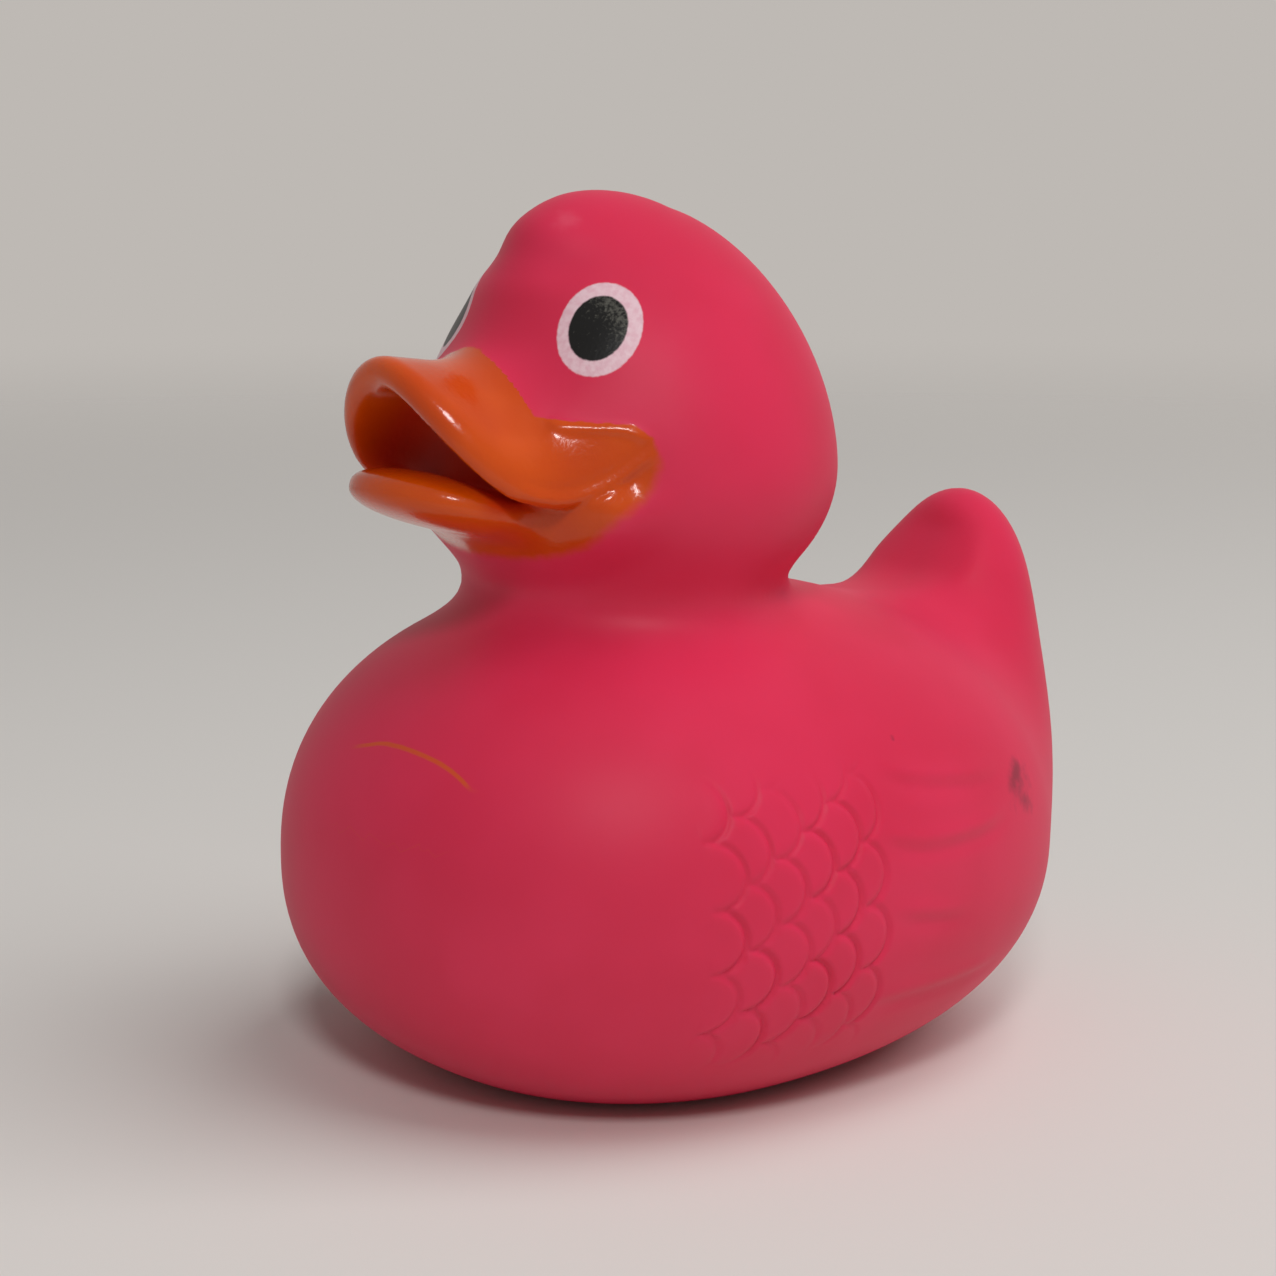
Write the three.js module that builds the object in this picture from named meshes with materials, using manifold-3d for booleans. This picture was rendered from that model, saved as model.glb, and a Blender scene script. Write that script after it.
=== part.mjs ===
// Rubber bath duck: one hollow soft-vinyl moulding with an open bill, a tuft, a tail and a vent hole.
// Millimetres, +Z up. The duck faces -Y, its left side is +X, and it stands on z = 0.
import * as THREE from "three";
import { mergeVertices } from "three/addons/utils/BufferGeometryUtils.js";
import Module from "manifold-3d";

// Driving dimensions. Each rounded form is an egg: half sizes from its centre, with its own roundness
// round the plan and over the top and bottom (2 is an ellipse, more is squarer, less is leaner).
const WALL = 2.2;
const VENT_DIAMETER = 3;
const VENT_SIDES = 20;
const BASE_EDGE_RADIUS = 1.2;

const BODY = { side: 31.9, front: 33.4, back: 42.4, up: 25.3, down: 22 };
const BODY_ROUNDNESS = { plan: 2.15, top: 2.23, bottom: 2.29 };
const BODY_WIDEST_HEIGHT = 19.7;

const TAIL = { side: 11.1, front: 7.1, back: 8.1, up: 19.3, down: 19.3 };
const TAIL_LEAN = -0.2;
const TAIL_INSET = 4.7;
const TAIL_LIFT = 11.5;
const TAIL_FILLET = 12.4;

const HEAD = { side: 20.5, front: 17.5, back: 19, up: 23.9, down: 14.8 };
const HEAD_ROUNDNESS = { plan: 1.97, top: 1.81, bottom: 2 };
const HEAD_FORWARD = 2;
const HEAD_LIFT = 11;
const NECK_FILLET = 8.2;

const TUFT = { side: 7.1, front: 8, back: 8, up: 9.4, down: 9.4 };
const TUFT_FORWARD = 5.3;
const TUFT_LIFT = 14.6;
const TUFT_FILLET = 4.5;

// The upper bill is an arched sheet with a full round lip. Its plan is an egg that starts inside the face.
const UPPER_BILL = { side: 12.4, front: 12.6, back: 8 };
const UPPER_BILL_ROUNDNESS = 2.46;
const UPPER_BILL_ROOT_DEPTH = 3.2;
const UPPER_BILL_LIFT = 8.1;
const UPPER_BILL_RISE = 0.13;
const UPPER_BILL_THICKNESS = 2.8;
const UPPER_BILL_FILLET = 5.8;
const ARCH_DROP = 9.8;
const ARCH_POWER = 1.8;
const ARCH_TURN_UP = 0.05;
const ARCH_TURN_UP_START = 5.5;

const LOWER_BILL = { side: 9.4, front: 8.4, back: 7.5, up: 2.4, down: 2.4 };
const LOWER_BILL_ROUNDNESS = { plan: 2.1, top: 2, bottom: 2 };
const LOWER_BILL_FORWARD = 1.9;
const LOWER_BILL_DROP = 2.4;
const LOWER_BILL_LEAN = -0.28;
const LOWER_BILL_FILLET = 3;

// The cheek pad carries the lower lip round to the corner of the mouth.
const CHEEK = { side: 15.8, front: 5.2, back: 6, up: 6.5, down: 4.2 };
const CHEEK_ROUNDNESS = { plan: 2.9, top: 2, bottom: 2 };
const CHEEK_DEPTH = 6.3;
const CHEEK_DROP = 3.4;
const CHEEK_FILLET = 4;

// Seen from the side the mouth line is a parabola. Its crease runs from the lower lip to the corner.
const MOUTH_RADIUS = 5.9;
const MOUTH_DEPTH = 0.9;
const MOUTH_DROP = 1.9;
const CREASE_DEPTH = 0.7;
const CREASE_WIDTH = 0.8;
const LIP_SWELL = 0.25;
const LIP_SWELL_WIDTH = 0.9;
const LIP_SWELL_HEIGHT = 1.5;
const CREASE_START = 4.4;
const CREASE_FULL = 0.9;
const CREASE_FADE = 5.4;
const CREASE_END = 7.6;
const CREASE_INNER_SIDE = 7.5;
const CREASE_OUTER_SIDE = 10;

// Each half of the bill fades into the face over a short height at the mouth line. Ahead of the face the
// upper half reaches lower down, so that its flared sides hang past the mouth line.
const UPPER_FADE = { gone: -0.7, full: 0.3 };
const LOWER_FADE = { full: 0.1, gone: 1.1 };
const FLARE_REACH = 3;
const FLARE_START = 2.4;
const FLARE_FULL = 6.4;
const ARCH_WIDEST_SHARE = 1.3;

// Mesh fineness: the steps of the grids that the outside and the hollow are first sampled on, and how far
// apart the points of the outside end up, as a bend in radians within a least and a greatest spacing
const OUTSIDE_STEP = 0.85;
const HOLLOW_STEP = 4.4;
const BEND_BETWEEN_POINTS = 0.105;
const LEAST_SPACING = 0.8;
const GREATEST_SPACING = 2.9;
const THINNING_ROUNDS = 12;
const SMOOTHING_ROUNDS = 3;
const SMOOTHING_SHARE = 0.5;

const PINK_VINYL = new THREE.MeshStandardMaterial({ color: 0xd94468, roughness: 0.5, metalness: 0 });

// Places that follow from the sizes
const bodyCentre = { y: 0, z: BODY_WIDEST_HEIGHT };
const backHeight = BODY_WIDEST_HEIGHT + BODY.up;
const tailCentre = { y: BODY.back - TAIL_INSET, z: BODY_WIDEST_HEIGHT + TAIL_LIFT };
const headCentre = { y: -HEAD_FORWARD, z: backHeight + HEAD_LIFT };
const tuftCentre = { y: headCentre.y - TUFT_FORWARD, z: headCentre.z + TUFT_LIFT };
const faceY = headCentre.y - HEAD.front;
const upperRoot = { y: faceY + UPPER_BILL_ROOT_DEPTH, z: headCentre.z + UPPER_BILL_LIFT };
const lowerCentre = { y: faceY - LOWER_BILL_FORWARD, z: headCentre.z - LOWER_BILL_DROP };
const cheekCentre = { y: faceY + CHEEK_DEPTH, z: headCentre.z - CHEEK_DROP };
const mouthLow = { y: faceY + MOUTH_DEPTH, z: headCentre.z - MOUTH_DROP };
const ELLIPSE = { plan: 2, top: 2, bottom: 2 };
const SMALLEST = 1e-9;

// Smooth step from 0 at one value to 1 at another
function ramp(from, to, value) {
  const t = Math.min(Math.max((value - from) / (to - from), 0), 1);
  return t * t * (3 - 2 * t);
}

// Union of two forms with a fillet between them
function blend(a, b, fillet) {
  const near = Math.max(fillet - Math.abs(a - b), 0) / fillet;
  return Math.min(a, b) - (near * near * fillet) / 4;
}

function cutWithRound(a, b, fillet) {
  return -blend(-a, -b, fillet);
}

// Height over an egg's surface, measured from its centre outwards
function egg(x, y, z, centre, half, roundness, lean = 0) {
  const dy = y - centre.y;
  const dz = z - centre.z;
  const along = Math.cos(lean) * dy + Math.sin(lean) * dz;
  const upward = Math.cos(lean) * dz - Math.sin(lean) * dy;
  const px = Math.abs(x) / half.side;
  const py = Math.abs(along) / (along < 0 ? half.front : half.back);
  const pz = Math.abs(upward) / (upward > 0 ? half.up : half.down);
  const plan = (px ** roundness.plan + py ** roundness.plan) ** (1 / roundness.plan);
  const power = upward > 0 ? roundness.top : roundness.bottom;
  const share = (plan ** power + pz ** power) ** (1 / power);
  const distance = Math.hypot(x, dy, dz);
  return share < SMALLEST ? -half.side : distance - distance / share;
}

// Body, tail, head and tuft, with a flat base
function bareDuck(x, y, z) {
  const body = egg(x, y, z, bodyCentre, BODY, BODY_ROUNDNESS);
  const tail = egg(x, y, z, tailCentre, TAIL, ELLIPSE, TAIL_LEAN);
  const head = egg(x, y, z, headCentre, HEAD, HEAD_ROUNDNESS);
  const tuft = egg(x, y, z, tuftCentre, TUFT, ELLIPSE);
  const rump = blend(body, tail, TAIL_FILLET);
  const bust = blend(rump, head, NECK_FILLET);
  return cutWithRound(blend(bust, tuft, TUFT_FILLET), -z, BASE_EDGE_RADIUS);
}

// The upper bill's sheet: it arches down to both sides and turns up again towards the cheeks
function upperBill(x, y, z) {
  const forward = upperRoot.y - y;
  const across = Math.min(Math.abs(x) / UPPER_BILL.side, ARCH_WIDEST_SHARE);
  const turn = Math.max(ARCH_TURN_UP_START - forward, 0);
  const arch = ARCH_DROP * across ** ARCH_POWER - ARCH_TURN_UP * turn ** 2 * across ** 2;
  const middle = upperRoot.z + UPPER_BILL_RISE * forward - arch;
  const slope = ((ARCH_DROP * ARCH_POWER) / UPPER_BILL.side) * across ** (ARCH_POWER - 1);
  const over = (z - middle) / Math.hypot(1, slope, UPPER_BILL_RISE);
  const length = forward > 0 ? UPPER_BILL.front : UPPER_BILL.back;
  const px = Math.abs(x) / UPPER_BILL.side;
  const py = Math.abs(forward) / length;
  const share = (px ** UPPER_BILL_ROUNDNESS + py ** UPPER_BILL_ROUNDNESS) ** (1 / UPPER_BILL_ROUNDNESS);
  const distance = Math.hypot(x, forward);
  const outside = share < SMALLEST ? -length : distance - distance / share;
  const lip = UPPER_BILL_THICKNESS / 2;
  return Math.hypot(Math.max(outside + lip, 0), over) - lip;
}

// Crease along the mouth line on the cheeks, with the upper lip swelling above it
function mouthCrease(x, y, overMouth) {
  const back = y - mouthLow.y;
  const lengthways = ramp(-CREASE_START, -CREASE_FULL, back) * ramp(CREASE_END, CREASE_FADE, back);
  const sideways = ramp(CREASE_INNER_SIDE, CREASE_OUTER_SIDE, Math.abs(x));
  const crease = CREASE_DEPTH * Math.exp(-((overMouth / CREASE_WIDTH) ** 2));
  const swell = LIP_SWELL * Math.exp(-(((overMouth - LIP_SWELL_HEIGHT) / LIP_SWELL_WIDTH) ** 2));
  return (crease - swell) * lengthways * sideways;
}

// The whole outside: each half of the bill blends into the face on its own side of the mouth line
function duck(x, y, z) {
  const bare = bareDuck(x, y, z);
  const mouthZ = mouthLow.z + (y - mouthLow.y) ** 2 / (2 * MOUTH_RADIUS);
  const overMouth = z - mouthZ;
  const flare = FLARE_REACH * ramp(mouthLow.y - FLARE_START, mouthLow.y - FLARE_FULL, y);
  const upperShare = ramp(UPPER_FADE.gone, UPPER_FADE.full, overMouth + flare);
  const lowerShare = ramp(LOWER_FADE.gone, LOWER_FADE.full, overMouth);
  const upper = blend(bare, upperBill(x, y, z), UPPER_BILL_FILLET);
  const cheek = egg(x, y, z, cheekCentre, CHEEK, CHEEK_ROUNDNESS);
  const lower = egg(x, y, z, lowerCentre, LOWER_BILL, LOWER_BILL_ROUNDNESS, LOWER_BILL_LEAN);
  const jaw = blend(blend(bare, cheek, CHEEK_FILLET), lower, LOWER_BILL_FILLET);
  const face = Math.min(bare + (upper - bare) * upperShare, bare + (jaw - bare) * lowerShare);
  return face + mouthCrease(x, y, overMouth);
}

// The hollow follows the body and head inside the wall; the bill is moulded solid
function hollow(x, y, z) {
  return bareDuck(x, y, z) + WALL;
}

// Direction in which a form's height rises, taken over a short probe
const PROBE = 0.01;

function slopeAt(form, p) {
  return new THREE.Vector3(
    form(p.x + PROBE, p.y, p.z) - form(p.x - PROBE, p.y, p.z),
    form(p.x, p.y + PROBE, p.z) - form(p.x, p.y - PROBE, p.z),
    form(p.x, p.y, p.z + PROBE) - form(p.x, p.y, p.z - PROBE),
  ).divideScalar(2 * PROBE);
}

// Moves a point straight onto the surface of a form
const SETTLING_MOVES = 4;
const LEAST_SLOPE = 0.5;

function settle(form, p, longestMove) {
  for (let i = 0; i < SETTLING_MOVES; i += 1) {
    const slope = slopeAt(form, p);
    const move = -form(p.x, p.y, p.z) / Math.max(slope.lengthSq(), LEAST_SLOPE ** 2);
    p.addScaledVector(slope, Math.min(Math.max(move, -longestMove), longestMove));
  }
  return p;
}

// Skin of a form: one point in each grid cell that the surface crosses, one face across each crossed edge
function skin(form, box, step) {
  const axes = ["x", "y", "z"].map((axis) => {
    const count = Math.ceil((box.max[axis] - box.min[axis]) / step) + 1;
    const middle = (box.max[axis] + box.min[axis]) / 2;
    return Array.from({ length: count }, (_, i) => middle + (i - (count - 1) / 2) * step);
  });
  const [nx, ny, nz] = axes.map((list) => list.length);
  const steps = [1, nx, nx * ny];
  const corner = (node) => {
    const [i, j, k] = [node % nx, Math.floor(node / nx) % ny, Math.floor(node / (nx * ny))];
    return new THREE.Vector3(axes[0][i], axes[1][j], axes[2][k]);
  };
  const values = new Float64Array(nx * ny * nz);
  values.forEach((_, node) => {
    const { x, y, z } = corner(node);
    values[node] = form(x, y, z);
  });
  const cellPoint = new Map();
  const points = [];
  const pointOf = (cell) => {
    if (cellPoint.has(cell)) return cellPoint.get(cell);
    const sum = new THREE.Vector3();
    let crossings = 0;
    for (let axis = 0; axis < 3; axis += 1) {
      const [side, up] = steps.filter((_, other) => other !== axis);
      for (const start of [cell, cell + side, cell + up, cell + side + up]) {
        const end = start + steps[axis];
        if (values[start] < 0 === values[end] < 0) continue;
        const share = values[start] / (values[start] - values[end]);
        sum.add(corner(start).lerp(corner(end), share));
        crossings += 1;
      }
    }
    points.push(settle(form, sum.divideScalar(crossings), step / 4));
    cellPoint.set(cell, points.length - 1);
    return points.length - 1;
  };
  const faces = [];
  const faceAcross = (start, axis) => {
    const [side, up] = [steps[(axis + 1) % 3], steps[(axis + 2) % 3]];
    const ring = [start - side - up, start - up, start, start - side].map(pointOf);
    if (values[start] > 0) ring.reverse();
    const [a, b, c, d] = ring;
    const shortFirst = points[a].distanceTo(points[c]) < points[b].distanceTo(points[d]);
    faces.push(...(shortFirst ? [[a, b, c], [a, c, d]] : [[b, c, d], [b, d, a]]));
  };
  for (let k = 1; k < nz - 1; k += 1) {
    for (let j = 1; j < ny - 1; j += 1) {
      for (let i = 1; i < nx - 1; i += 1) {
        const start = i + nx * (j + ny * k);
        for (let axis = 0; axis < 3; axis += 1) {
          if (values[start] < 0 !== values[start + steps[axis]] < 0) faceAcross(start, axis);
        }
      }
    }
  }
  return { points, faces };
}

// How far apart the points of a skin may stand where the surface bends as it does at this point
const BEND_PROBE = 0.5;

function spacingAt(form, p) {
  const normal = slopeAt(form, p).normalize();
  const steep = Math.abs(normal.z) < Math.SQRT1_2;
  const first = new THREE.Vector3(steep ? 0 : 1, 0, steep ? 1 : 0).cross(normal).normalize();
  const second = new THREE.Vector3().crossVectors(normal, first);
  let bend = SMALLEST;
  for (const turn of [0, 1, 2, 3]) {
    const angle = (turn * Math.PI) / 4;
    const way = first.clone().multiplyScalar(Math.cos(angle)).addScaledVector(second, Math.sin(angle));
    const ahead = slopeAt(form, p.clone().addScaledVector(way, BEND_PROBE)).normalize();
    const behind = slopeAt(form, p.clone().addScaledVector(way, -BEND_PROBE)).normalize();
    bend = Math.max(bend, ahead.distanceTo(behind) / (2 * BEND_PROBE));
  }
  return Math.min(Math.max(BEND_BETWEEN_POINTS / bend, LEAST_SPACING), GREATEST_SPACING);
}

// Thins a skin out: each edge shorter than the spacing closes up to one point on the form, as long as
// the faces round it keep facing the same way
const FACING_LIMIT = 0.6;
const MOST_FACES_ROUND_A_POINT = 9;

function thinOut(form, { points, faces }) {
  const facesOf = points.map(() => new Set());
  faces.forEach((face) => face.forEach((point) => facesOf[point].add(face)));
  const spacing = points.map((p) => spacingAt(form, p));
  const neighboursOf = (point) => {
    const all = new Set([...facesOf[point]].flat());
    all.delete(point);
    return all;
  };
  const normalOf = ([a, b, c]) => {
    const triangle = new THREE.Triangle(a, b, c);
    return triangle.getNormal(new THREE.Vector3());
  };
  const closeUp = (a, b) => {
    const others = [...neighboursOf(a)].filter((point) => neighboursOf(b).has(point));
    if (others.length !== 2) return false;
    const kept = [...facesOf[a], ...facesOf[b]].filter((face) => !(face.includes(a) && face.includes(b)));
    if (kept.length > MOST_FACES_ROUND_A_POINT) return false;
    const length = points[a].distanceTo(points[b]);
    const middle = settle(form, points[a].clone().lerp(points[b], 0.5), length / 4);
    const keepsFacing = (face) => {
      const before = normalOf(face.map((point) => points[point]));
      const after = normalOf(face.map((point) => (point === a || point === b ? middle : points[point])));
      return before.dot(after) > FACING_LIMIT;
    };
    if (!kept.every(keepsFacing)) return false;
    for (const face of [...facesOf[b]]) {
      if (face.includes(a)) {
        face.forEach((point) => facesOf[point].delete(face));
        continue;
      }
      face[face.indexOf(b)] = a;
      facesOf[a].add(face);
    }
    facesOf[b].clear();
    points[a] = middle;
    spacing[a] = spacingAt(form, middle);
    return true;
  };
  const shareOf = ([a, b]) => (2 * points[a].distanceTo(points[b])) / (spacing[a] + spacing[b]);
  for (let round = 0; round < THINNING_ROUNDS; round += 1) {
    const edges = [];
    facesOf.forEach((_, a) => neighboursOf(a).forEach((b) => a < b && edges.push([a, b])));
    const short = edges.map((edge) => ({ edge, share: shareOf(edge) })).filter(({ share }) => share < 1);
    short.sort((one, other) => one.share - other.share);
    for (const { edge } of short) {
      const [a, b] = edge;
      if (neighboursOf(a).has(b) && shareOf(edge) < 1) closeUp(a, b);
    }
  }
  const left = points.map((_, i) => i).filter((i) => facesOf[i].size > 0);
  const newPlace = new Map(left.map((point, i) => [point, i]));
  const leftFaces = new Set(left.flatMap((point) => [...facesOf[point]]));
  return {
    points: left.map((point) => points[point]),
    faces: [...leftFaces].map((face) => face.map((point) => newPlace.get(point))),
  };
}

// Evens a skin out: each point drifts towards the middle of its neighbours and settles on the form again
function evenOut(form, { points, faces }) {
  const neighbours = points.map(() => new Set());
  faces.forEach((face) => face.forEach((point) => face.forEach((other) => neighbours[point].add(other))));
  neighbours.forEach((set, point) => set.delete(point));
  for (let round = 0; round < SMOOTHING_ROUNDS; round += 1) {
    const middles = neighbours.map((set) => {
      const middle = new THREE.Vector3();
      set.forEach((other) => middle.add(points[other]));
      return middle.divideScalar(set.size);
    });
    points.forEach((p, i) => {
      const drift = p.distanceTo(middles[i]);
      settle(form, p.lerp(middles[i], SMOOTHING_SHARE), drift);
    });
  }
  return { points, faces };
}

const wasm = await Module();
wasm.setup();

// Points a hair off the base plane count as lying on it
const BASE_TOLERANCE = 1e-4;

function solidOfSkin({ points, faces }) {
  const places = points.flatMap(({ x, y, z }) => [x, y, Math.abs(z) < BASE_TOLERANCE ? 0 : z]);
  const vertProperties = new Float32Array(places);
  const triVerts = new Uint32Array(faces.flat());
  return new wasm.Manifold(new wasm.Mesh({ numProp: 3, vertProperties, triVerts }));
}

function solidOfGeometry(geometry) {
  geometry.deleteAttribute("normal");
  geometry.deleteAttribute("uv");
  const merged = mergeVertices(geometry);
  const vertProperties = new Float32Array(merged.attributes.position.array);
  const triVerts = new Uint32Array(merged.index.array);
  return new wasm.Manifold(new wasm.Mesh({ numProp: 3, vertProperties, triVerts }));
}

function geometryOfSolid(solid) {
  const mesh = solid.getMesh();
  const geometry = new THREE.BufferGeometry();
  geometry.setAttribute("position", new THREE.BufferAttribute(mesh.vertProperties, 3));
  geometry.setIndex(new THREE.BufferAttribute(mesh.triVerts, 1));
  geometry.computeVertexNormals();
  return geometry;
}

// The space that the forms can reach, with a margin round it
function reachOfForms() {
  const box = new THREE.Box3();
  const add = (centre, half) => {
    const tall = Math.max(half.up ?? 0, half.side / 2);
    box.expandByPoint(new THREE.Vector3(half.side, centre.y - half.front, centre.z - tall));
    box.expandByPoint(new THREE.Vector3(-half.side, centre.y + half.back, centre.z + tall));
  };
  add(bodyCentre, BODY);
  add(tailCentre, TAIL);
  add(headCentre, HEAD);
  add(tuftCentre, TUFT);
  add(upperRoot, UPPER_BILL);
  add(lowerCentre, LOWER_BILL);
  box.min.z = 0;
  return box.expandByScalar(2 * WALL);
}

function ventHole() {
  const depth = 4 * WALL;
  const cylinder = new THREE.CylinderGeometry(VENT_DIAMETER / 2, VENT_DIAMETER / 2, depth, VENT_SIDES);
  return cylinder.rotateX(Math.PI / 2).translate(0, bodyCentre.y, 0);
}

function duckShell() {
  const box = reachOfForms();
  const outside = solidOfSkin(evenOut(duck, thinOut(duck, skin(duck, box, OUTSIDE_STEP))));
  const inside = solidOfSkin(evenOut(hollow, skin(hollow, box, HOLLOW_STEP)));
  const vent = solidOfGeometry(ventHole());
  const shell = new THREE.Mesh(geometryOfSolid(outside.subtract(inside).subtract(vent)), PINK_VINYL);
  shell.name = "duck_shell";
  return shell;
}

const shell = duckShell();
const extent = new THREE.Box3().setFromObject(shell);
shell.position.y = -(extent.min.y + extent.max.y) / 2;

const rubberDuck = new THREE.Group();
rubberDuck.add(shell);

export default rubberDuck;
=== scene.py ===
"""Looks of the rubber bath duck: its smooth skin, the moulded feathers, the sprayed bill and the printed eyes."""

import math
from functools import partial

import bmesh
import bpy
import numpy as np
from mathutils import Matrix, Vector


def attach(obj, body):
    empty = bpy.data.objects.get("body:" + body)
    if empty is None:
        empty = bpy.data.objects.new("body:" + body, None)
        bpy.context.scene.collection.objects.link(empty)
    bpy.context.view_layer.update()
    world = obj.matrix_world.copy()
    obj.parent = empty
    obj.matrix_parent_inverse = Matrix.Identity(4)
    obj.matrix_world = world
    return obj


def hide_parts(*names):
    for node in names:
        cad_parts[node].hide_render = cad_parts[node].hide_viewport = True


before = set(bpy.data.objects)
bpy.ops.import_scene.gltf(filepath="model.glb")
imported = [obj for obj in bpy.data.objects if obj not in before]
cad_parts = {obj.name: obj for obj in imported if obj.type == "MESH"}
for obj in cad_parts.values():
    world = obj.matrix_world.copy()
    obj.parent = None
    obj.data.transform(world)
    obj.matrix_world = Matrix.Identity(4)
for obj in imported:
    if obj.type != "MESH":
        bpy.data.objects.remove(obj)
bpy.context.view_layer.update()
scene = bpy.context.scene
scene.view_settings.view_transform = "Standard"
MM = 0.001

# Sizes of the moulding in millimetres, as the solid part has them but for a tighter nape and a higher jaw
BASE_EDGE_RADIUS = 1.2
BODY = dict(side=31.9, front=33.4, back=42.4, up=25.3, down=22.0, plan=2.15, top=2.23, bottom=2.29)
TAIL = dict(side=11.1, front=7.1, back=8.1, up=19.3, down=19.3, lean=-0.2)
HEAD = dict(side=20.5, front=17.5, back=19.0, up=23.9, down=14.8, plan=1.97, top=1.81)
TUFT = dict(side=7.1, front=8.0, back=8.0, up=9.4, down=9.4)
LOWER_BILL = dict(side=9.4, front=8.4, back=7.5, up=2.4, down=2.4, plan=2.1, top=2.5, bottom=2.5, lean=-0.28)
CHEEK = dict(side=15.8, front=5.2, back=6.0, up=5.1, down=5.6, plan=2.9)
UPPER_BILL = dict(side=12.4, front=12.6, back=8.0, plan=2.46, rise=0.13, thickness=2.8)
ARCH_DROP, ARCH_POWER, ARCH_TURN_UP, ARCH_TURN_UP_START, ARCH_WIDEST = 9.8, 1.8, 0.05, 5.5, 1.3
TAIL_FILLET, TUFT_FILLET = 12.4, 4.5
NECK_FILLET_FRONT, NECK_FILLET_REAR = 8.2, 5.3
UPPER_BILL_FILLET, LOWER_BILL_FILLET, CHEEK_FILLET = 5.8, 3.0, 4.0
MOUTH_RADIUS = 5.9
CREASE_DEPTH, CREASE_WIDTH, CREASE_FADE = 0.5, 0.5, 3.2
# Where the crease fades in and out behind the mouth's lowest point, and where it fades in towards the side
CREASE_IN, CREASE_OUT, CREASE_ASIDE = (-4.4, -0.9), (7.6, 5.4), (7.5, 10.0)
LIP_SWELL, LIP_SWELL_WIDTH, LIP_SWELL_HEIGHT = 0.12, 0.6, 0.9
LIP_GROOVE, LIP_GROOVE_WIDTH, LIP_GROOVE_HEIGHT = 0.12, 0.55, 1.9

# Centres of the forms, seen from the side (y, z)
BODY_AT = (0.0, 19.7)
TAIL_AT = (37.7, 31.2)
HEAD_AT = (-2.0, 56.0)
TUFT_AT = (-7.3, 70.6)
UPPER_ROOT = (-16.3, 64.1)
LOWER_AT = (-21.4, 53.6)
CHEEK_AT = (-13.2, 54.0)
MOUTH_LOW = (-18.6, 54.1)


def ramp(start, end, value):
    """Smooth step from 0 at start to 1 at end, also where end is the smaller one"""
    t = np.clip((value - start) / (end - start), 0, 1)
    return t * t * (3 - 2 * t)


def blend(a, b, fillet):
    """Two forms as one, with a rounded valley where they meet"""
    near = np.maximum(fillet - np.abs(a - b), 0) / fillet
    return np.minimum(a, b) - near * near * fillet / 4


def egg(p, at, side, front, back, up, down, plan=2.0, top=2.0, bottom=2.0, lean=0.0):
    """Height over an egg's surface, measured from its centre outwards"""
    x, dy, dz = p[:, 0], p[:, 1] - at[0], p[:, 2] - at[1]
    along = math.cos(lean) * dy + math.sin(lean) * dz
    upward = math.cos(lean) * dz - math.sin(lean) * dy
    ends = np.abs(along) / np.where(along < 0, front, back)
    round_plan = ((np.abs(x) / side) ** plan + ends**plan) ** (1 / plan)
    power = np.where(upward > 0, top, bottom)
    tall = np.abs(upward) / np.where(upward > 0, up, down)
    share = np.maximum((round_plan**power + tall**power) ** (1 / power), 1e-9)
    distance = np.sqrt(x * x + dy * dy + dz * dz)
    return distance - distance / share


def bare_duck(p):
    """Body, tail, head and tuft, cut flat at the foot"""
    rump = blend(egg(p, BODY_AT, **BODY), egg(p, TAIL_AT, **TAIL), TAIL_FILLET)
    neck = NECK_FILLET_REAR + (NECK_FILLET_FRONT - NECK_FILLET_REAR) * ramp(6, -4, p[:, 1])
    bust = blend(rump, egg(p, HEAD_AT, **HEAD), neck)
    whole = blend(bust, egg(p, TUFT_AT, **TUFT), TUFT_FILLET)
    return -blend(-whole, p[:, 2], BASE_EDGE_RADIUS)


def over_sheet(p):
    """Height over the arched middle of the upper bill, distance outside its outline, and how far forward p lies"""
    x, forward = np.abs(p[:, 0]), UPPER_ROOT[0] - p[:, 1]
    side, plan = UPPER_BILL["side"], UPPER_BILL["plan"]
    across = np.minimum(x / side, ARCH_WIDEST)
    turn = np.maximum(ARCH_TURN_UP_START - forward, 0)
    arch = ARCH_DROP * across**ARCH_POWER - ARCH_TURN_UP * turn**2 * across**2
    middle = UPPER_ROOT[1] + UPPER_BILL["rise"] * forward - arch
    slope = ARCH_DROP * ARCH_POWER / side * across ** (ARCH_POWER - 1)
    over = (p[:, 2] - middle) / np.sqrt(1 + slope**2 + UPPER_BILL["rise"] ** 2)
    ends = np.abs(forward) / np.where(forward > 0, UPPER_BILL["front"], UPPER_BILL["back"])
    share = np.maximum(((x / side) ** plan + ends**plan) ** (1 / plan), 1e-9)
    distance = np.hypot(x, forward)
    return over, distance - distance / share, forward


def upper_bill(p):
    """The arched sheet of the upper bill, with its full round lip"""
    over, outside, forward = over_sheet(p)
    lip = UPPER_BILL["thickness"] / 2
    groove = LIP_GROOVE * np.exp(-(((outside + LIP_GROOVE_HEIGHT) / LIP_GROOVE_WIDTH) ** 2))
    groove = groove * (over > 0) * ramp(7.5, 4.5, forward) * ramp(0.5, 2.5, forward)
    return np.hypot(np.maximum(outside + lip, 0), over) - lip + groove


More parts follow.
